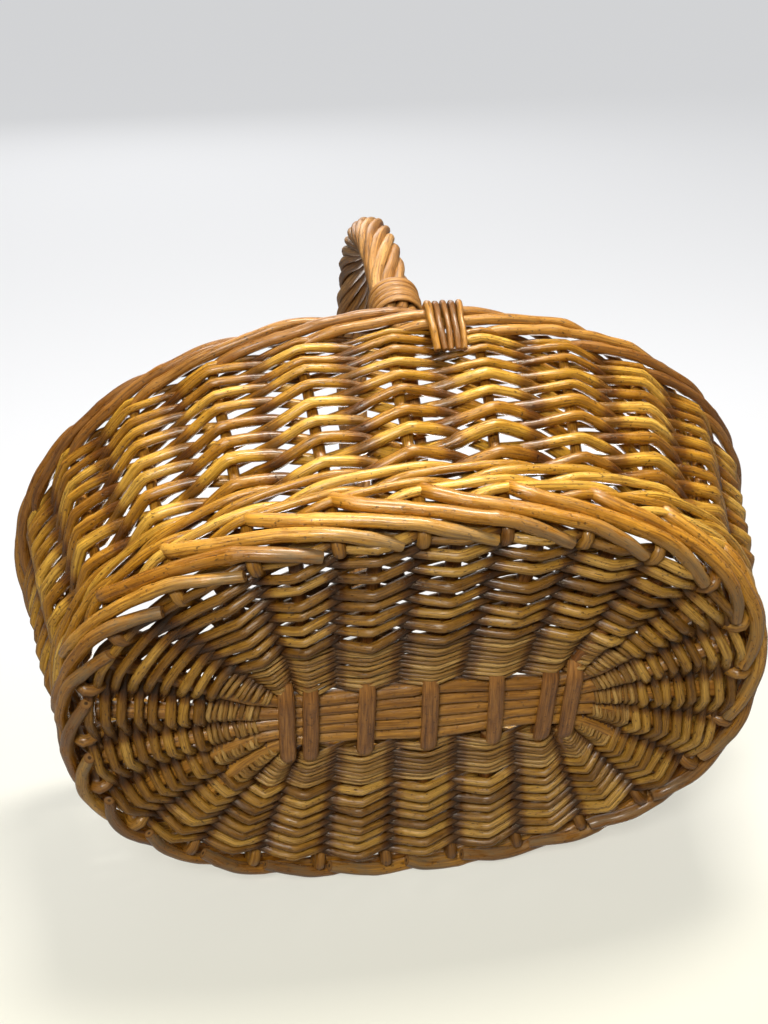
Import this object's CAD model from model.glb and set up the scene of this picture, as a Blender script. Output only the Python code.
import math

import bmesh
import bpy
import numpy as np
from mathutils import Matrix, Vector


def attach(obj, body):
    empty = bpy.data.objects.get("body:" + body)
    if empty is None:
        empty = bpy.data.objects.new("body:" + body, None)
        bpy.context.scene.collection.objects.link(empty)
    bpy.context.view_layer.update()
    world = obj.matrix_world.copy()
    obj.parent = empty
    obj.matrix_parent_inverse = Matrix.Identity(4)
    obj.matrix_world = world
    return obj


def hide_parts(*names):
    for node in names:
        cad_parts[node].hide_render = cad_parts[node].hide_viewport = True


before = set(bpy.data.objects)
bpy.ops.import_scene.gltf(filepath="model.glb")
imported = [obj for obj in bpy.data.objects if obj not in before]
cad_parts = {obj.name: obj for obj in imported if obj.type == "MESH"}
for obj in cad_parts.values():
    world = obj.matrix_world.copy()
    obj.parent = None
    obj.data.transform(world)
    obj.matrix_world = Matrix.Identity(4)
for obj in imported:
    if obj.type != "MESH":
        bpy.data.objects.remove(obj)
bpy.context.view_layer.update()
MM = 0.001

# ------------------------------------------------------------------ sizes, in millimetres, as in the CAD source
STAKES, PHASE = 25, -0.11
FOOT_Z, RIM_Z = 8.0, 140.0
FOOT = (190.0, 140.0, 2.34)
RIM = (224.0, 174.0, 2.13)
STAKE_D, FOOT_D, RIM_D = 6.5, 7.9, 6.4
BASE_Z, SLATH_X = 13.0, 5.0
STICK_X = [-82, -68, -37, 0, 37, 68, 82]
LONG_Y = [-19.6, -9.8, 0, 9.8, 19.6]
LONG_X = [87.5, 95, 95, 95, 87.5]
STICK_D, LONG_D = 8.4, 8.8
ROW_Z = [50.3, 64.6, 77.1, 89.3, 101, 111.6, 120.8, 129.2]
ROW_PITCH = [14.0, 13.4, 12.4, 12.0, 11.2, 9.9, 8.8, 8.0]
HX, ARCH_R, ARCH_Z, TOP_Z, BOW_END_Z = 3.5, 166.5, 222.0, 154.0, 62.0
BOW_D, ROPE_N, ROPE_D, ROPE_R, ROPE_TURNS, ROPE_Z0 = 11.2, 8, 6.7, 9.1, 3.6, 158.0


def oval(a, b, p, n=1441):
    t = np.radians(-90 + np.linspace(0, 360, n))
    x = a * np.sign(np.cos(t)) * np.abs(np.cos(t)) ** (2 / p)
    y = b * np.sign(np.sin(t)) * np.abs(np.sin(t)) ** (2 / p)
    P = np.stack([x, y], -1)
    L = np.r_[0, np.cumsum(np.linalg.norm(np.diff(P, axis=0), axis=1))]
    return P, L


FP, FL = oval(*FOOT)
RP, RL = oval(*RIM)


def along(P, L, f):
    u = np.mod(f, 1.0) * L[-1]
    return np.stack([np.interp(u, L, P[:, 0]), np.interp(u, L, P[:, 1])], -1)


def foot_at(s):
    return along(FP, FL, (np.asarray(s, float) + PHASE) / STAKES)


def rim_at(s):
    return along(RP, RL, (np.asarray(s, float) + PHASE) / STAKES)


def wall_at(s, z):
    t = ((np.asarray(z, float) - FOOT_Z) / (RIM_Z - FOOT_Z))[..., None]
    return foot_at(s) * (1 - t) + rim_at(s) * t


def out_at(s, z):
    s = np.asarray(s, float)
    d = wall_at(s + 0.1, z) - wall_at(s - 0.1, z)
    d /= np.linalg.norm(d, axis=-1, keepdims=True)
    return np.stack([d[..., 1], -d[..., 0]], -1)


def off_at(s, z, r):
    s, z, r = np.broadcast_arrays(np.asarray(s, float), np.asarray(z, float), np.asarray(r, float))
    w = wall_at(s, z) + out_at(s, z) * r[..., None]
    return np.concatenate([w, z[..., None]], -1)


def foot_off(s, z, r):
    s, z, r = np.broadcast_arrays(np.asarray(s, float), np.asarray(z, float), np.asarray(r, float))
    w = foot_at(s) + out_at(s, np.full_like(s, FOOT_Z)) * r[..., None]
    return np.concatenate([w, z[..., None]], -1)


# ------------------------------------------------------------------ rods
def curve(pts, step):
    """A smooth line through pts, cut into steps of about that length."""
    p = np.asarray(pts, float)
    p = np.vstack([2 * p[0] - p[1], p, 2 * p[-1] - p[-2]])
    out = []
    for i in range(1, len(p) - 2):
        a, b, c, d = p[i - 1 : i + 3]
        ta = max(np.linalg.norm(b - a), 1e-6) ** 0.5
        tb = max(np.linalg.norm(c - b), 1e-6) ** 0.5
        tc = max(np.linalg.norm(d - c), 1e-6) ** 0.5
        m1 = ((b - a) / ta - (c - a) / (ta + tb) + (c - b) / tb) * tb
        m2 = ((c - b) / tb - (d - b) / (tb + tc) + (d - c) / tc) * tb
        t = np.linspace(0, 1, 24, endpoint=False)[:, None]
        out.append((2 * t**3 - 3 * t**2 + 1) * b + (t**3 - 2 * t**2 + t) * m1 + (-2 * t**3 + 3 * t**2) * c + (t**3 - t**2) * m2)
    q = np.vstack(out + [p[-2:-1]])
    return resample(q, step)


def resample(q, step):
    L = np.r_[0, np.cumsum(np.linalg.norm(np.diff(q, axis=0), axis=1))]
    n = max(3, int(round(L[-1] / step)) + 1)
    u = np.linspace(0, L[-1], n)
    return np.stack([np.interp(u, L, q[:, k]) for k in range(3)], -1)


def wave(u, rng, length, parts=3):
    """Smooth noise along u, about -1 to 1."""
    v = 0
    for k in range(parts):
        v = v + np.sin(2 * math.pi * u / (length * (0.6 + 0.8 * rng.random()) / (1 + 0.7 * k)) + rng.random() * 6.283) / (1 + k)
    return v / 1.4


class Piece:
    """Gathers rods into one mesh with the attributes that the willow materials read."""

    def __init__(self):
        self.v, self.f, self.n = [], [], 0
        self.a = {k: [] for k in ("rid", "cut", "wear", "deep")}
        self.c = []

    def rod(self, P, R, rng, ref=(0, 0, 1), sides=10, flat=1.0, wobble=0.25, wear=0, deep=0, cuts=(1, 1), slant=(0, 0), nodes=True, rid=None, tip=(1.0, 1.0), lump=0.03):
        P = np.asarray(P, float)
        n = len(P)
        R = np.broadcast_to(np.asarray(R, float), (n,)).copy()
        L = np.r_[0, np.cumsum(np.linalg.norm(np.diff(P, axis=0), axis=1))]
        T = np.gradient(P, axis=0)
        T /= np.linalg.norm(T, axis=1, keepdims=True)
        B = np.cross(T, np.broadcast_to(np.asarray(ref, float), (n, 3)))
        B /= np.maximum(np.linalg.norm(B, axis=1, keepdims=True), 1e-9)
        N = np.cross(B, T)
        if wobble:
            P = P + N * (wave(L, rng, 60) * wobble)[:, None] + B * (wave(L, rng, 60) * wobble)[:, None]
        R = R * (1 + lump * wave(L, rng, 45))
        if nodes:
            x = rng.random() * 50
            while x < L[-1]:
                R = R * (1 + (0.05 + 0.08 * rng.random()) * np.exp(-(((L - x) / 3.0) ** 2)))
                x += 34 + 44 * rng.random()
        R[0] *= 0.93 * tip[0]
        R[-1] *= 0.93 * tip[1]
        th = np.linspace(0, 2 * math.pi, sides, endpoint=False) + rng.random() * 0.3
        oval_ph = rng.random() * 6.28
        lob = 1 + 0.035 * np.cos(2 * th + oval_ph)
        ring = P[:, None, :] + R[:, None, None] * lob[None, :, None] * (N[:, None, :] * np.cos(th)[None, :, None] * flat + B[:, None, :] * np.sin(th)[None, :, None])
        if slant[0]:
            ring[0] += T[0] * (slant[0] * R[0] * np.cos(th + oval_ph))[:, None]
        if slant[1]:
            ring[-1] += T[-1] * (slant[1] * R[-1] * np.cos(th + oval_ph))[:, None]
        u0 = rng.random() * 400
        rid = rng.random() if rid is None else rid
        base = self.n
        idx = base + np.arange(n * sides).reshape(n, sides)
        a, b = idx[:-1], idx[1:]
        self.f.append(np.stack([a, np.roll(a, -1, 1), np.roll(b, -1, 1), b], -1).reshape(-1, 4))
        self.v.append(ring.reshape(-1, 3))
        self.c.append(np.stack([np.repeat(L + u0, sides), np.tile(np.cos(th), n), np.tile(np.sin(th), n)], -1))
        self.a["rid"].append(np.full(n * sides, rid))
        self.a["cut"].append(np.zeros(n * sides))
        self.a["wear"].append(np.repeat(np.broadcast_to(np.asarray(wear, float), (n,)), sides))
        self.a["deep"].append(np.repeat(np.broadcast_to(np.asarray(deep, float), (n,)), sides))
        self.n += n * sides
        for end, on in ((0, cuts[0]), (-1, cuts[1])):
            r0 = ring[end]
            mid = r0.mean(0)
            r1 = mid + (r0 - mid) * 0.55 + (-T[0] if end == 0 else T[-1]) * 0.1 * R[end]
            cap = np.vstack([r0, r1, mid + (-T[0] if end == 0 else T[-1]) * 0.02 * R[end]])
            o = self.n
            i0 = o + np.arange(sides)
            i1 = i0 + sides
            j0, j1 = np.roll(i0, -1), np.roll(i1, -1)
            c = np.full(sides, o + 2 * sides)
            q = np.stack([i0, i1, j1, j0], -1)
            t = np.stack([i1, c, j1, j1], -1)
            if end != 0:
                q, t = q[:, ::-1], np.stack([j1, c, i1, i1], -1)
            self.f.append(q)
            self.f.append(t)
            self.v.append(cap)
            m = 2 * sides + 1
            self.c.append(np.vstack([np.c_[np.full(sides, L[end] + u0), np.cos(th), np.sin(th)], np.c_[np.full(sides, L[end] + u0), 0.55 * np.cos(th), 0.55 * np.sin(th)], [[L[end] + u0, 0, 0]]]))
            self.a["rid"].append(np.full(m, rid))
            self.a["cut"].append(np.full(m, float(on)))
            self.a["wear"].append(np.zeros(m))
            self.a["deep"].append(np.full(m, float(np.asarray(deep).reshape(-1)[end if np.ndim(deep) else 0])))
            self.n += m

    def build(self, name, node, slot, mat):
        v = np.vstack(self.v) * MM
        f = np.vstack(self.f)
        me = bpy.data.meshes.new(name)
        tri = f[:, 2] == f[:, 3]
        faces = f[~tri].tolist() + f[tri][:, :3].tolist()
        me.from_pydata(v.tolist(), [], faces)
        for k, arr in self.a.items():
            at = me.attributes.new(k, "FLOAT", "POINT")
            at.data.foreach_set("value", np.concatenate(arr).astype(np.float32))
        at = me.attributes.new("rodco", "FLOAT_VECTOR", "POINT")
        at.data.foreach_set("vector", np.vstack(self.c).astype(np.float32).ravel())
        me.polygons.foreach_set("use_smooth", np.ones(len(me.polygons), bool))
        me.update()
        me.validate()
        ob = bpy.data.objects.new(name, me)
        bpy.context.scene.collection.objects.link(ob)
        me.materials.append(mat)
        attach(ob, "root")
        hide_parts(node)
        return ob


# ------------------------------------------------------------------ willow materials
def nd(t, kind, **kw):
    n = t.nodes.new(kind)
    for k, v in kw.items():
        if k.startswith("in_"):
            n.inputs[int(k[3:]) if k[3:].isdigit() else k[3:].replace("_", " ")].default_value = v
        else:
            setattr(n, k, v)
    return n


def ramp(t, fac, stops, interp="LINEAR"):
    r = t.nodes.new("ShaderNodeValToRGB")
    r.color_ramp.interpolation = interp
    e = r.color_ramp.elements
    while len(e) < len(stops):
        e.new(0.5)
    for x, (p, c) in zip(e, stops):
        x.position = p
        x.color = (*c, 1) if len(c) == 3 else c
    t.links.new(fac, r.inputs[0])
    return r.outputs[0]


def mth(t, op, a, b=None, clamp=False):
    m = t.nodes.new("ShaderNodeMath")
    m.operation = op
    m.use_clamp = clamp
    for i, x in enumerate((a, b)):
        if x is None:
            continue
        if isinstance(x, (int, float)):
            m.inputs[i].default_value = x
        else:
            t.links.new(x, m.inputs[i])
    return m.outputs[0]


def mix(t, fac, a, b, kind="MIX"):
    m = t.nodes.new("ShaderNodeMix")
    m.data_type = "RGBA"
    m.blend_type = kind
    for s, x in ((0, fac), (6, a), (7, b)):
        if isinstance(x, (int, float)):
            m.inputs[s].default_value = x
        elif isinstance(x, tuple):
            m.inputs[s].default_value = (*x, 1)
        else:
            t.links.new(x, m.inputs[s])
    return m.outputs[2]


def lin(r, g, b):
    """sRGB 0-255 to linear."""
    return tuple((c / 255 / 12.92) if c / 255 <= 0.04045 else ((c / 255 + 0.055) / 1.055) ** 2.4 for c in (r, g, b))


def willow(name, tints, rough=(0.30, 0.55), coat=0.35, fleck=0.5, grey=(120, 105, 85), seed=0.0, bump=0.5, dark=(52, 28, 10)):
    m = bpy.data.materials.new(name)
    m.use_nodes = True
    t = m.node_tree
    t.nodes.clear()
    out = nd(t, "ShaderNodeOutputMaterial")
    p = nd(t, "ShaderNodeBsdfPrincipled")
    t.links.new(p.outputs[0], out.inputs[0])
    at = {k: nd(t, "ShaderNodeAttribute", attribute_name=k) for k in ("rid", "cut", "wear", "deep", "rodco")}
    fac = {k: at[k].outputs["Fac"] for k in ("rid", "cut", "wear", "deep")}
    co = at["rodco"].outputs["Vector"]

    def mapped(su, sc):
        k = nd(t, "ShaderNodeMapping")
        k.inputs["Scale"].default_value = (su, sc, sc)
        k.inputs["Location"].default_value = (seed, seed * 0.37, 0)
        t.links.new(co, k.inputs["Vector"])
        # each rod reads its own part of the pattern
        add = nd(t, "ShaderNodeVectorMath", operation="ADD")
        sc2 = nd(t, "ShaderNodeVectorMath", operation="SCALE")
        sc2.inputs[0].default_value = (37.0, 11.0, 23.0)
        t.links.new(fac["rid"], sc2.inputs["Scale"])
        t.links.new(k.outputs[0], add.inputs[0])
        t.links.new(sc2.outputs[0], add.inputs[1])
        return add.outputs[0]

    def noise(su, sc, scale, detail, rgh=0.55):
        x = nd(t, "ShaderNodeTexNoise")
        x.inputs["Scale"].default_value = scale
        x.inputs["Detail"].default_value = detail
        x.inputs["Roughness"].default_value = rgh
        t.links.new(mapped(su, sc), x.inputs["Vector"])
        return x.outputs["Fac"]

    n_tint = noise(0.012, 0.35, 1.0, 2)
    n_streak = noise(0.02, 2.6, 1.6, 4, 0.62)
    n_fibre = noise(0.05, 7.0, 2.2, 3, 0.6)
    n_patch = noise(0.07, 0.9, 1.0, 3)
    n_fleck = noise(0.32, 1.9, 1.3, 2)
    n_ring = noise(0.9, 0.35, 1.0, 2)

    tint = mth(t, "ADD", mth(t, "MULTIPLY", fac["rid"], 0.72), mth(t, "MULTIPLY", n_tint, 0.42), clamp=True)
    k = len(tints) - 1
    col = ramp(t, tint, [(0.12 + 0.8 * i / k, lin(*c)) for i, c in enumerate(tints)])
    # long fibres, lighter and darker
    st = ramp(t, n_streak, [(0.36, (0.40, 0.32, 0.24)), (0.46, (0.84, 0.80, 0.74)), (0.55, (1.06, 1.05, 1.02)), (0.68, (1.42, 1.40, 1.30))])
    col = mix(t, 0.85, col, st, "MULTIPLY")
    fb = ramp(t, n_fibre, [(0.38, (0.60, 0.52, 0.44)), (0.5, (1, 1, 1)), (0.64, (1.22, 1.20, 1.12))])
    col = mix(t, 0.6, col, fb, "MULTIPLY")
    # patches of thicker varnish
    pt = ramp(t, n_patch, [(0.38, (0.46, 0.34, 0.22)), (0.54, (1, 1, 1))])
    col = mix(t, 0.42, col, pt, "MULTIPLY")
    # dark flecks and bud scars
    fl = ramp(t, n_fleck, [(0.63, (0, 0, 0)), (0.67, (1, 1, 1))])
    flf = mth(t, "MULTIPLY", fl, fleck)
    col = mix(t, flf, col, lin(*dark))
    # seams: darker where a rod goes under its neighbour
    dp = ramp(t, fac["deep"], [(0.0, (1, 1, 1)), (0.45, (0.46, 0.35, 0.24)), (1.0, (0.08, 0.045, 0.025))])
    col = mix(t, 1.0, col, dp, "MULTIPLY")
    # rubbed parts
    wn = ramp(t, n_fibre, [(0.32, (0.25, 0.25, 0.25)), (0.62, (1, 1, 1))])
    wn2 = ramp(t, n_patch, [(0.35, (0.15, 0.15, 0.15)), (0.6, (1, 1, 1))])
    wf = mth(t, "MULTIPLY", mth(t, "MULTIPLY", fac["wear"], wn), wn2, clamp=True)
    col = mix(t, wf, col, lin(*grey))
    # cut faces: pale wood round a dark pith
    sep = nd(t, "ShaderNodeSeparateXYZ")
    t.links.new(co, sep.inputs[0])
    rad = mth(t, "SQRT", mth(t, "ADD", mth(t, "MULTIPLY", sep.outputs[1], sep.outputs[1]), mth(t, "MULTIPLY", sep.outputs[2], sep.outputs[2])))
    pith = ramp(t, rad, [(0.0, lin(48, 28, 12)), (0.26, lin(70, 42, 18)), (0.42, lin(150, 108, 56)), (0.9, lin(120, 80, 36)), (1.0, lin(70, 42, 18))])
    col = mix(t, fac["cut"], col, pith)
    t.links.new(col, p.inputs["Base Color"])
    rg = nd(t, "ShaderNodeMapRange")
    rg.inputs["From Min"].default_value, rg.inputs["From Max"].default_value = 0.35, 0.68
    rg.inputs["To Min"].default_value, rg.inputs["To Max"].default_value = rough
    t.links.new(n_patch, rg.inputs["Value"])
    rr = mth(t, "ADD", rg.outputs[0], mth(t, "MULTIPLY", mth(t, "ADD", wf, fac["cut"], clamp=True), 0.3), clamp=True)
    t.links.new(rr, p.inputs["Roughness"])
    p.inputs["Coat Weight"].default_value = coat
    p.inputs["Coat Roughness"].default_value = 0.16
    p.inputs["Coat IOR"].default_value = 1.45
    p.inputs["Coat Tint"].default_value = (1.0, 0.93, 0.78, 1)
    p.inputs["Specular Tint"].default_value = (1.0, 0.88, 0.66, 1)
    p.inputs["IOR"].default_value = 1.5
    # grain and wrinkles
    h = mth(t, "ADD", mth(t, "MULTIPLY", n_fibre, 0.5), mth(t, "ADD", mth(t, "MULTIPLY", n_streak, 0.9), mth(t, "MULTIPLY", n_ring, 0.35)))
    h = mth(t, "SUBTRACT", h, mth(t, "MULTIPLY", fl, 0.5))
    bm = nd(t, "ShaderNodeBump")
    bm.inputs["Strength"].default_value = bump
    bm.inputs["Distance"].default_value = 0.0009
    t.links.new(h, bm.inputs["Height"])
    t.links.new(bm.outputs[0], p.inputs["Normal"])
    return m


WALL = willow("willow_wall", [(140, 93, 22), (173, 124, 34), (196, 151, 52), (216, 175, 80)], rough=(0.16, 0.36), coat=0.5, fleck=0.75, seed=1)
BASEW = willow("willow_base", [(108, 72, 20), (142, 100, 32), (170, 127, 48), (198, 156, 74)], rough=(0.2, 0.42), coat=0.3, fleck=0.8, seed=4)
FINE = willow("willow_fine", [(116, 80, 30), (148, 108, 46), (172, 132, 64), (198, 160, 92)], rough=(0.34, 0.58), coat=0.15, fleck=0.7, seed=6)
STICK = willow("willow_strap", [(132, 84, 36), (152, 102, 46), (170, 120, 62)], rough=(0.28, 0.5), coat=0.3, fleck=0.5, seed=9)
LONG = willow("willow_slath", [(136, 90, 28), (160, 110, 40), (180, 130, 54)], rough=(0.30, 0.5), coat=0.3, fleck=0.5, seed=11)
STAKE = willow("willow_stake", [(112, 70, 16), (146, 98, 26), (172, 124, 42)], rough=(0.26, 0.5), coat=0.4, fleck=0.7, seed=13)
FOOTM = willow("willow_foot", [(130, 80, 18), (160, 108, 28), (184, 132, 42), (202, 152, 62)], rough=(0.18, 0.40), coat=0.45, fleck=0.7, grey=(112, 96, 72), seed=17)
RIMM = willow("willow_rim", [(112, 68, 18), (148, 98, 32), (180, 130, 52)], rough=(0.24, 0.48), coat=0.4, fleck=0.75, seed=21)
ROPE = willow("willow_rope", [(140, 96, 44), (166, 120, 64), (190, 146, 88)], rough=(0.32, 0.55), coat=0.22, fleck=0.5, seed=25)
BIND = willow("willow_binding", [(156, 110, 54), (180, 134, 74), (200, 156, 98)], rough=(0.3, 0.52), coat=0.3, fleck=0.3, seed=29)


# ------------------------------------------------------------------ weaving
def stroke(x):
    """Across the row: +1 in front of an even stake, -1 behind an odd one, kinked at each."""
    tri = 1 - 2 * np.abs(np.mod(x, 2) - 1)  # -1 at even, +1 at odd
    return 0.85 * -tri + 0.15 * np.cos(math.pi * x)


def rise(x):
    """Up and down along the row: 0 at every stake, +1 and -1 half way between."""
    tri = 1 - 2 * np.abs(np.mod(x + 0.5, 2) - 1)
    return 0.65 * tri + 0.35 * np.sin(math.pi * x)


def pair_rods(piece, place, total, r0, amp, d, rng, per=14, run=(9, 14), sides=10, ends_in=1.0, deepness=0.8, wear=0.0, loose=0.6, seam=0.74):
    """Weavers of one row laid as separate rods. place(x, r, z) gives the point at station x."""
    x = 1.0 + 2 * rng.integers(0, 3)
    stops = [x]
    while stops[-1] < x + total - 0.5:
        step = 2 * rng.integers(run[0] // 2, run[1] // 2 + 1)
        nxt = stops[-1] + step
        if x + total - nxt < run[0] - 1:
            nxt = x + total
        stops.append(nxt)
    row_w = rng.random(4) * 6.28
    for a, b in zip(stops[:-1], stops[1:]):
        xa, xb = a - 0.42, b + 0.42
        n = int((xb - xa) * per) + 1
        X = np.linspace(xa, xb, n)
        k = np.round(X).astype(int)
        rr = np.random.default_rng(int(rng.integers(1 << 30)))
        js = rr.normal(0, 1, (4, int(total) + 40))
        kk = np.mod(k, js.shape[1])
        # slight differences from stroke to stroke, eased between stakes
        def eased(row, amt):
            f = np.floor(X).astype(int)
            w = X - f
            w = w * w * (3 - 2 * w)
            L = js.shape[1]
            return amt * (js[row][np.mod(f, L)] * (1 - w) + js[row][np.mod(f + 1, L)] * w)
        r = r0 * stroke(X) * (1 + eased(0, 0.05))
        z = amp * rise(X) * (1 + eased(1, 0.14)) + eased(2, loose)
        # the ends lie beside their neighbours, behind the stake
        ea = np.exp(-(((X - xa) / 0.45) ** 2))
        eb = np.exp(-(((X - xb) / 0.45) ** 2))
        r = r - ends_in * d * 0.35 * (ea + eb)
        z = z + d * 0.42 * (eb - ea)
        taper = np.interp(X, [xa, xb], [1.10, 0.84])
        R = d / 2 * taper
        P = place(X, r, z)
        deep = deepness * np.clip((np.abs(np.sin(math.pi * X)) - seam) / (1 - seam), 0, 1) ** 2
        piece.rod(P, R, rr, sides=sides, wobble=0.18, deep=deep * 0.95, slant=(0.5, 0.6), wear=wear)


def wall_row(j, rng):
    pc = Piece()
    d = float(np.clip(ROW_PITCH[j] * 0.56, 5.2, 7.4))
    amp = (ROW_PITCH[j] - d) / 2 + 0.2
    zr = ROW_Z[j]
    ph = rng.random(3) * 6.28

    def place(X, r, z):
        zz = zr + z + 0.8 * np.sin(2 * math.pi * X / 25 * 2 + ph[0]) + 0.5 * np.sin(2 * math.pi * X / 25 * 5 + ph[1])
        return off_at(X, zz, r)

    pair_rods(pc, place, 50, STAKE_D / 2 + d / 2 + 0.6, amp, d, rng, per=13)
    return pc


def wale_row(zr, d, rng, r_out, r_in):
    """Three-rod wale: every rod passes before two stakes and behind one."""
    pc = Piece()
    start = 0.0
    total = 75
    stops = [start]
    while stops[-1] < start + total - 0.5:
        step = 3 * int(rng.integers(3, 6))
        nxt = stops[-1] + step
        if start + total - nxt < 7:
            nxt = start + total
        stops.append(nxt)
    for a, b in zip(stops[:-1], stops[1:]):
        xa, xb = a - 0.45, b + 0.45
        rr = np.random.default_rng(int(rng.integers(1 << 30)))
        X = np.linspace(xa, xb, int((xb - xa) * 12) + 1)
        f = np.mod(X, 3.0)
        g = np.where(f < 1.5, f, 3 - f)  # 0 behind, 1.5 between the two fronts
        r = np.interp(g, [0, 0.22, 0.5, 0.8, 1.05, 1.5], [-r_in, -r_in * 0.8, 0.2, r_out * 0.86, r_out, r_out * 0.97])
        ker = np.ones(5) / 5
        r = np.convolve(np.r_[[r[0]] * 2, r, [r[-1]] * 2], ker, "valid")
        f2 = np.mod(X + 0.35, 3.0) - 0.35
        z = np.where(f2 < 2.65, (f2 - 1.5) * d * 0.98, 0)
        z = np.clip((f2 - 1.5) * d * 0.92, -d * 1.02, d * 1.02)
        z = np.where(f2 > 2.6, d * 1.02 - (f2 - 2.6) / 0.05 * 0, z)
        # fall back behind the stake
        back = np.clip((np.mod(X + 0.35, 3.0)) / 0.7, 0, 1)
        zb = d * 1.02 * (1 - 2 * back)
        z = np.where(np.mod(X + 0.35, 3.0) < 0.7, zb, z)
        z = np.convolve(np.r_[[z[0]] * 3, z, [z[-1]] * 3], np.ones(7) / 7, "valid")
        z = z + 0.6 * wave(X, rr, 6)
        R = d / 2 * np.interp(X, [xa, xb], [1.08, 0.86])
        ea, eb = np.exp(-(((X - xa) / 0.4) ** 2)), np.exp(-(((X - xb) / 0.4) ** 2))
        r = r - d * 0.3 * (ea + eb)
        P = off_at(X, zr + z, r)
        deep = np.clip((0.8 - np.abs(f - 1.5) * 0 - g) / 0.8, 0, 1) * 0.5
        pc.rod(P, R, rr, wobble=0.15, deep=deep, slant=(0.5, 0.6))
    return pc


# base spokes in order round the base, from the front left
SP_S = [j - 3 + 0.45 for j in range(7)] + [4 + j + 0.45 for j in range(5)] + [9 + j + 0.45 for j in range(7)] + [16 + j + 0.45 for j in range(5)]
SP_IN = [(SLATH_X + STICK_X[j], -25.5) for j in range(7)]
SP_IN += [(SLATH_X + LONG_X[j] + 2.5, LONG_Y[j] * 1.15) for j in range(5)]
SP_IN += [(SLATH_X + STICK_X[6 - j], 25.5) for j in range(7)]
SP_IN += [(SLATH_X - LONG_X[4 - j] - 2.5, LONG_Y[4 - j] * 1.15) for j in range(5)]
SP_IN = np.array(SP_IN, float)
NSP = len(SP_S)
SP_S_ext = np.array(SP_S + [SP_S[0] + 25.0])


def base_place(t):
    """A row of the base at share t from the slath to the edge: gives place(x, r, z), r towards -Z and z outwards."""
    out_k = foot_off(np.array(SP_S), 0.0, -7.5)[:, :2]

    def at(X, tt):
        w = np.mod(X, NSP)
        f = np.floor(w).astype(int)
        g = (w - f)[:, None]
        a, b = SP_IN[f % NSP], SP_IN[(f + 1) % NSP]
        inner = a * (1 - g) + b * g
        s = np.interp(w, np.arange(NSP + 1), SP_S_ext)
        o_arc = foot_off(s, 0.0, -7.5)[:, :2]
        o_ch = out_k[f % NSP] * (1 - g) + out_k[(f + 1) % NSP] * g
        outer = 0.6 * o_arc + 0.4 * o_ch
        tt = np.asarray(tt)[..., None] if np.ndim(tt) else tt
        return inner * (1 - tt) + outer * tt

    def place(X, r, z):
        front = np.interp(np.mod(X, NSP), [0, 6, 9.5, 12, 18, 20.5, 24], [1, 1, 0.3, -0.85, -0.85, 0, 1])
        tt = t + 0.058 * front * max(0.0, (t - 0.72) / 0.27)
        p = at(X, tt)
        q = at(X, tt + 0.02) - p
        q /= np.maximum(np.linalg.norm(q, axis=1, keepdims=True), 1e-9)
        w = p + q * z[:, None]
        return np.c_[w, BASE_Z - r - 3.2 * max(0.0, (t - 0.75) / 0.25)]

    return place


def base_rows(ts, d, r0, amp, rng, doubled=False, per=10, sides=10, run=(8, 14), loose=0.7):
    pc = Piece()
    for t in ts:
        pl = base_place(t)
        for half in (0, 1):
            def shifted(X, r, z, pl=pl, half=half):
                return pl(X + half, r, z)
            if doubled:
                for o in (-0.52, 0.52):
                    def two(X, r, z, pl=pl, half=half, o=o):
                        return pl(X + half, r, z + o * d)
                    pair_rods(pc, two, NSP, r0, amp, d, rng, per=per, run=run, sides=8, loose=loose, seam=0.74, deepness=0.9)
            else:
                pair_rods(pc, shifted, NSP, r0, amp, d, rng, per=per, run=run, sides=sides, loose=loose, seam=0.76, deepness=0.95)
    return pc


def gen(seed):
    return np.random.default_rng(20260 + seed)


made = []

# base sticks
rng = gen(1)
pc = Piece()
for j in range(7):
    x = SLATH_X + STICK_X[j]
    for side in (-1, 1):
        s_end = (j - 3 + 0.45) if side < 0 else (15 - j + 0.45)
        e = foot_off(s_end, BASE_Z, -9.5)
        # outer part
        pc.rod(curve([(x, side * 25, BASE_Z), (x, side * 32, BASE_Z), e], 4), STICK_D / 2, rng, sides=14, wobble=0.2, deep=np.r_[0.6, np.zeros(1)][0] * 0.4)
    lean = rng.normal(0, 0.8, 2)
    for m in (-1, 1):
        y = np.linspace(-33.5, 33.5, 30)
        z = BASE_Z + m * np.interp(np.abs(y), [0, 20, 25, 29, 33.5], [6.9, 6.8, 6.3, 4.4, 1.6])
        xx = x + np.interp(y, [-33, 33], lean)
        pc.rod(np.c_[xx, y, z], np.interp(np.abs(y), [0, 24, 33.5], [4.9, 4.8, 4.2]), rng, sides=16, flat=0.54, wobble=0.1, nodes=False, lump=0.02, rid=0.25 + 0.5 * rng.random())
made.append(pc.build("short_sticks", "base_short_sticks", "base_stick_willow", STICK))

rng = gen(2)
pc = Piece()
for j in range(5):
    a, b = foot_off(20 - j + 0.45, BASE_Z, -9.5), foot_off(4 + j + 0.45, BASE_Z, -9.5)
    P = curve([a, (SLATH_X - LONG_X[j], LONG_Y[j], BASE_Z), (SLATH_X, LONG_Y[j] + rng.normal(0, 0.3), BASE_Z), (SLATH_X + LONG_X[j], LONG_Y[j], BASE_Z), b], 4)
    pc.rod(P, LONG_D / 2 + 0.25, rng, sides=16, wobble=0.12, rid=0.2 + 0.15 * j, lump=0.015)
made.append(pc.build("long_sticks", "base_long_sticks", "base_stick_willow", LONG))

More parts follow.
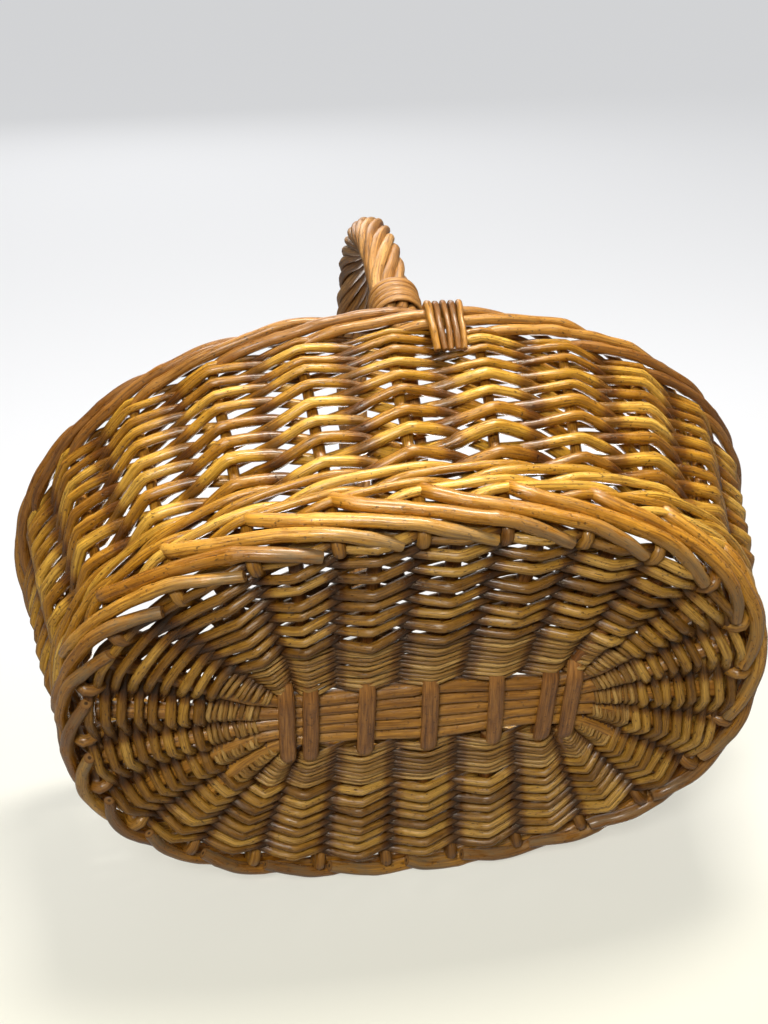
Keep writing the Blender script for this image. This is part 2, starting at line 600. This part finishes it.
made.append(base_rows([0.03, 0.095, 0.16, 0.225, 0.285], 2.8, 5.8, 1.1, gen(3), doubled=True, per=9, run=(8, 12)).build("fine_rows", "base_weave_fine", "base_weave_willow", FINE))
made.append(base_rows([0.362, 0.452], 5.9, 7.4, 2.1, gen(4)).build("inner_rows", "base_weave_inner", "base_weave_willow", BASEW))
made.append(base_rows([0.542, 0.632, 0.722], 5.9, 7.5, 2.1, gen(5), per=12).build("middle_rows", "base_weave_middle", "base_weave_willow", BASEW))
made.append(base_rows([0.812, 0.902, 0.99], 5.8, 7.3, 2.0, gen(6), per=13).build("outer_rows", "base_weave_outer", "base_weave_willow", BASEW))

# side stakes
rng = gen(7)
pc = Piece()
for k in range(STAKES):
    pts = [foot_off(k, 16.0, -44), foot_off(k, 16.0, -22), foot_off(k, 12.6, -11.5), foot_off(k, 6.4, -4.6), foot_off(k, 6.6, -0.9), off_at(k, 14.5, 1.0), off_at(k, 26, 0), off_at(k, 60, 0), off_at(k, 100, 0), off_at(k, 137.5, 0)]
    P = curve(pts, 3)
    h = P[:, 2]
    wear = np.exp(-(((h - 6.0) / 3.0) ** 2)) * 0.2
    L = np.linspace(0, 1, len(P))
    R = np.interp(L, [0, 0.22, 0.3, 0.4, 1], [3.1, 3.4, 3.9, 3.25, 2.9])
    tang = foot_at(k + 0.1) - foot_at(k - 0.1)
    deep = np.clip((24 - np.abs(h - 24)) / 24, 0, 1) * 0
    pc.rod(P, R, rng, ref=(tang[0], tang[1], 0), sides=12, wobble=0.3, wear=wear, deep=deep)
made.append(pc.build("stakes", "side_stakes", "stake_willow", STAKE))

# foot border
rng = gen(8)
pc = Piece()
q = STAKE_D / 2 + FOOT_D / 2 + 0.1
for k in range(STAKES):
    j = rng.normal(0, 0.05, 3)
    pts = [off_at(k + 0.02, 33, 3.0), off_at(k + 0.10, 26.5, q - 0.6), off_at(k + 0.42, 20.4, q + 0.5), off_at(k + 1, 14.8, q + 0.2), off_at(k + 1.55, 10.4, q + 0.2), foot_off(k + 2.0, 6.8, q - 0.3), foot_off(k + 2.42, 4.2, q - 5.2), foot_off(k + 2.80 + j[0], 3.6, -3.6)]
    P = curve(pts, 3)
    low = np.clip((9 - P[:, 2]) / 5, 0, 1)
    mid = 0.45 * np.clip(wave(np.linspace(0, 150, len(P)), rng, 70), 0, 1)
    R = FOOT_D / 2 * (1 + 0.05 * rng.normal()) * np.interp(np.linspace(0, 1, len(P)), [0, 0.15, 0.8, 1], [0.9, 1.02, 0.98, 0.88])
    pc.rod(P, R, rng, sides=14, wobble=0.3, wear=np.clip(low * 0.9 + mid * 0.5, 0, 1), slant=(0, 0.35 * rng.random()), cuts=(0, 1))
made.append(pc.build("foot_border", "foot_border_rods", "foot_border_willow", FOOTM))

# upsett
made.append(wale_row(29.8, 5.6, gen(9), STAKE_D / 2 + 3.4, STAKE_D / 2 + 2.8).build("upsett_lower", "upsett_wale_lower", "wall_willow", WALL))
made.append(wale_row(40.2, 5.4, gen(10), STAKE_D / 2 + 3.2, STAKE_D / 2 + 2.8).build("upsett_upper", "upsett_wale_upper", "wall_willow", WALL))

# wall rows
for j in range(8):
    made.append(wall_row(j, gen(20 + j)).build(f"wall_row_{j + 1}", f"side_weave_row_{j + 1}", "wall_willow", WALL))
rng = gen(30)
pc = Piece()
pair_rods(pc, lambda X, r, z: off_at(X, 135.0 + z, r), 50, STAKE_D / 2 + 2.2, 1.6, 4.0, rng, per=12, sides=8)
made.append(pc.build("top_row", "side_weave_top_row", "wall_willow", WALL))

# rim border
rng = gen(31)
pc = Piece()
for k in range(STAKES):
    pts = [off_at(k, 131, 0.3), off_at(k + 0.06, 135, 2.2), off_at(k + 0.35, 136.8, 5.4), off_at(k + 1, 139.8, 7.2), off_at(k + 1.5, 143.2, 7.2), off_at(k + 2, 146.8, 6.0), off_at(k + 2.4, 148.4, 1.6), off_at(k + 2.8, 146.4, -4.2), off_at(k + 3.15, 142.6, -6.8)]
    P = curve(pts, 3)
    R = np.interp(np.linspace(0, 1, len(P)), [0, 0.12, 0.8, 1], [3.0, 3.25, 3.0, 2.6])
    pc.rod(P, R, rng, sides=12, wobble=0.35, wear=0.12, slant=(0, 0.8 * rng.random()), cuts=(0, 1))
made.append(pc.build("rim_border", "rim_border_rods", "rim_border_willow", RIMM))

# handle
rng = gen(40)
lean = (RIM[1] - FOOT[1]) / (RIM_Z - FOOT_Z)
pc = Piece()
a = np.radians(np.linspace(0, 180, 61))
arch = np.c_[np.full(61, HX), -ARCH_R * np.cos(a), ARCH_Z + ARCH_R * np.sin(a)]
end = ARCH_R - (TOP_Z - BOW_END_Z) * lean
P = np.vstack([[(HX, -end, BOW_END_Z), (HX, -ARCH_R + 3, TOP_Z - 12), (HX, -ARCH_R, TOP_Z + 8)], arch, [(HX, ARCH_R, TOP_Z + 8), (HX, ARCH_R - 3, TOP_Z - 12), (HX, end, BOW_END_Z)]])
P = curve(P, 5)
pc.rod(P, np.interp(P[:, 2], [BOW_END_Z, 120, 160], [2.6, 4.6, 5.4]), rng, ref=(1, 0, 0), sides=10, wobble=0.1)
made.append(pc.build("handle_bow_rod", "handle_bow", "handle_willow", ROPE))

straight = ARCH_Z - ROPE_Z0
rope_len = 2 * straight + math.pi * ARCH_R


def bow_frame(u):
    u = np.asarray(u, float)
    a = np.clip((u - straight) / ARCH_R, 0, math.pi)
    side = np.stack([np.zeros_like(a), -np.cos(a), np.sin(a)], -1)
    mid = np.stack([np.full_like(a, HX), -ARCH_R * np.cos(a), ARCH_Z + ARCH_R * np.sin(a)], -1)
    mid[:, 2] -= np.clip(straight - u, 0, None) + np.clip(u - (rope_len - straight), 0, None)
    return mid, side


pc = Piece()
for n in range(ROPE_N):
    rr = gen(50 + n)
    u = np.linspace(-1, rope_len + 1, 190)
    mid, side = bow_frame(np.clip(u, -3, rope_len + 3))
    w = 2 * math.pi * n / ROPE_N + 2 * math.pi * ROPE_TURNS * u / rope_len + 0.10 * wave(u, rr, 120)
    r = ROPE_R + 0.25 * wave(u, rr, 90)
    P = mid + side * (r * np.cos(w))[:, None] + np.c_[r * np.sin(w), np.zeros_like(w), np.zeros_like(w)]
    R = ROPE_D / 2 * (1.0 + 0.07 * wave(u, rr, 200))
    pc.rod(P, R, rr, ref=(1, 0, 0), sides=12, wobble=0.1, rid=(n * 0.37) % 1)
made.append(pc.build("handle_rope", "handle_rope_rods", "handle_willow", ROPE))

for m, nm in ((-1, "front"), (1, "back")):
    rng = gen(60 + m)
    pc = Piece()
    th = np.linspace(0, 2 * math.pi * 5.1, 330)
    rad = 14.1 + 0.12 * wave(th, rng, 4)
    zz = 160.5 + 4.9 * th / (2 * math.pi) + 0.25 * wave(th, rng, 5)
    P = np.c_[HX + rad * np.cos(th), m * ARCH_R + rad * np.sin(th), zz]
    pc.rod(P, 1.45, rng, ref=(0, 0, 1), sides=12, flat=1.72, wobble=0, nodes=False, lump=0.05)
    made.append(pc.build(f"whipping_{nm}", f"handle_whipping_{nm}", "binding_willow", BIND))
    pc = Piece()
    for i in range(5):
        x = HX - m * (13 + 4.5 * i)
        aa = np.radians(np.linspace(0, 180, 25))
        tz = np.r_[133.0, 139.5 + 10.0 * np.sin(aa), 132.0, 123.0, 114.0]
        tr = np.r_[-5.2, 3.6 - 9.6 * np.cos(aa), 13.4, 12.2, 9.6]
        lean_x = np.interp(tz, [118, 150], [m * 1.2 * (i - 2) * 0.5, 0]) + np.r_[np.zeros(26), rng.normal(0, 0.3, 3)]
        P = np.c_[x + lean_x, m * (FOOT[1] + (tz - FOOT_Z) * lean + tr), tz]
        pc.rod(curve(P, 3), 2.5 if i == 0 else 2.15, rng, ref=(1, 0, 0), sides=12, flat=0.85, wobble=0.12, nodes=False, rid=(0.9, 0.0, 0.15, 0.05, 0.7)[i])
    made.append(pc.build(f"tail_rods_{nm}", f"handle_tail_rods_{nm}", "handle_willow", RIMM))

# ------------------------------------------------------------------ stage: the basket leans on its back in front of a pale sheet
yaw, pit, rol = 0.17602, 0.845225, -0.200379
C = np.array([-95.794, -553.277, -447.060])
dvec = np.array([math.sin(yaw) * math.cos(pit), math.cos(yaw) * math.cos(pit), math.sin(pit)])
rv = np.array([math.cos(yaw), -math.sin(yaw), 0])
uv = np.cross(rv, dvec)
r2 = math.cos(rol) * rv + math.sin(rol) * uv
u2 = -math.sin(rol) * rv + math.cos(rol) * uv
cam = bpy.data.cameras.new("camera")
cam_o = bpy.data.objects.new("camera", cam)
bpy.context.scene.collection.objects.link(cam_o)
M = Matrix([[r2[0], u2[0], -dvec[0], C[0] * MM], [r2[1], u2[1], -dvec[1], C[1] * MM], [r2[2], u2[2], -dvec[2], C[2] * MM], [0, 0, 0, 1]])
cam_o.matrix_world = M
cam.sensor_width = 36
cam.lens = 1250.465 / 1024 * 36
cam.clip_start, cam.clip_end = 0.01, 50
bpy.context.scene.camera = cam_o


def sheet_material(name, colours, axis):
    m = bpy.data.materials.new(name)
    m.use_nodes = True
    t = m.node_tree
    t.nodes.clear()
    out = nd(t, "ShaderNodeOutputMaterial")
    geo = nd(t, "ShaderNodeNewGeometry")
    tr = nd(t, "ShaderNodeBsdfTransparent")
    pb = nd(t, "ShaderNodeBsdfPrincipled")
    pb.inputs["Roughness"].default_value = 0.8
    pb.inputs["Specular IOR Level"].default_value = 0.0
    dm = nd(t, "ShaderNodeVectorMath", operation="SCALE")
    dm.inputs["Scale"].default_value = 0.32
    pb.inputs["Emission Strength"].default_value = 0.66
    mx = nd(t, "ShaderNodeMixShader")
    tc = nd(t, "ShaderNodeTexCoord")
    sp = nd(t, "ShaderNodeSeparateXYZ")
    t.links.new(tc.outputs["Object"], sp.inputs[0])
    mr = nd(t, "ShaderNodeMapRange")
    mr.inputs["From Min"].default_value, mr.inputs["From Max"].default_value = axis[1], axis[2]
    t.links.new(sp.outputs[axis[0]], mr.inputs["Value"])
    c = ramp(t, mr.outputs[0], [(i / (len(colours) - 1), lin(*x)) for i, x in enumerate(colours)], "EASE")
    t.links.new(c, dm.inputs[0])
    t.links.new(dm.outputs[0], pb.inputs["Base Color"])
    t.links.new(c, pb.inputs["Emission Color"])
    t.links.new(geo.outputs["Backfacing"], mx.inputs[0])
    t.links.new(pb.outputs[0], mx.inputs[1])
    t.links.new(tr.outputs[0], mx.inputs[2])
    t.links.new(mx.outputs[0], out.inputs[0])
    return m


def sheet(name, origin, xdir, ydir, size, mat):
    """A flat square sheet facing xdir x ydir."""
    x, y = Vector(xdir).normalized(), Vector(ydir).normalized()
    n = x.cross(y)
    me = bpy.data.meshes.new(name)
    s = size
    me.from_pydata([(-s, -s, 0), (s, -s, 0), (s, s, 0), (-s, s, 0)], [], [(0, 1, 2, 3)])
    me.materials.append(mat)
    o = bpy.data.objects.new(name, me)
    bpy.context.scene.collection.objects.link(o)
    o.matrix_world = Matrix([[x[0], y[0], n[0], origin[0]], [x[1], y[1], n[1], origin[1]], [x[2], y[2], n[2], origin[2]], [0, 0, 0, 1]])
    o.visible_shadow = o.visible_diffuse = o.visible_glossy = o.visible_transmission = False
    return o


tl = math.hypot(41.5, 148)
back_t = (0, 41.5 / tl, 148 / tl)
lean_m = sheet_material("pale_sheet", [(231, 228, 206), (238, 236, 224), (241, 241, 241), (243, 244, 246)], (1, -0.35, 0.9))
leaning = sheet("leaning_floor", (0, 0.1487, 0.001), (1, 0, 0), back_t, 24.0, lean_m)
flo = sheet_material("pale_floor", [(236, 234, 220), (236, 234, 220)], (1, -1.0, 1.0))
ground = sheet("level_floor", (0, 0, -0.0002), (1, 0, 0), (0, 1, 0), 24.0, flo)

# a pale surround, seen only by the camera
bmd = bmesh.new()
bmesh.ops.create_icosphere(bmd, subdivisions=4, radius=21.0)
dome_me = bpy.data.meshes.new("pale_surround")
bmd.to_mesh(dome_me)
bmd.free()
dm_m = bpy.data.materials.new("pale_surround")
dm_m.use_nodes = True
dt_t = dm_m.node_tree
dt_t.nodes.clear()
do = nd(dt_t, "ShaderNodeOutputMaterial")
de = nd(dt_t, "ShaderNodeEmission")
de.inputs[0].default_value = (*lin(226, 227, 228), 1)
dt_t.links.new(de.outputs[0], do.inputs[0])
dome_me.materials.append(dm_m)
dome = bpy.data.objects.new("pale_surround", dome_me)
bpy.context.scene.collection.objects.link(dome)
dome.visible_shadow = dome.visible_diffuse = dome.visible_glossy = dome.visible_transmission = False

# ------------------------------------------------------------------ light
bpy.context.scene.view_settings.view_transform = "Standard"
bpy.context.scene.view_settings.look = "None"
w = bpy.data.worlds.new("world")
bpy.context.scene.world = w
w.use_nodes = True
t = w.node_tree
t.nodes.clear()
wo = nd(t, "ShaderNodeOutputWorld")
bg = nd(t, "ShaderNodeBackground")
tc = nd(t, "ShaderNodeTexCoord")
dt = nd(t, "ShaderNodeVectorMath", operation="DOT_PRODUCT")
kd = Vector((0.0, -0.86, 0.50)).normalized()
dt.inputs[1].default_value = kd
t.links.new(tc.outputs["Generated"], dt.inputs[0])
mr = nd(t, "ShaderNodeMapRange")
mr.inputs["From Min"].default_value, mr.inputs["From Max"].default_value = -1, 1
t.links.new(dt.outputs["Value"], mr.inputs["Value"])
wc = ramp(t, mr.outputs[0], [(0.0, (1.7, 1.7, 1.7)), (0.3, (1.3, 1.3, 1.3)), (0.5, (0.66, 0.66, 0.67)), (1.0, (1.0, 1.0, 1.0))])
t.links.new(wc, bg.inputs[0])
bg.inputs[1].default_value = 0.21
t.links.new(bg.outputs[0], wo.inputs[0])


def area(name, loc, target, size, power, color=(1, 1, 1)):
    l = bpy.data.lights.new(name, "AREA")
    l.shape = "RECTANGLE"
    l.size, l.size_y = size
    l.energy = power
    l.color = color
    o = bpy.data.objects.new(name, l)
    bpy.context.scene.collection.objects.link(o)
    o.location = loc
    o.rotation_mode = "QUATERNION"
    o.rotation_quaternion = (Vector(target) - Vector(loc)).to_track_quat("-Z", "Y")
    return o


area("key", (0.2, -1.45, 0.55), (0, 0, 0.1), (0.55, 0.35), 38, (1.0, 0.97, 0.92))
area("fill", (-0.4, -1.45, -0.8), (0, 0, 0.05), (0.5, 0.35), 23)
area("top", (-0.3, -0.6, 3.2), (0, 0, 0.15), (1.6, 1.6), 26)
area("back", (0.5, 1.7, 1.1), (0, 0, 0.15), (0.9, 0.6), 14)
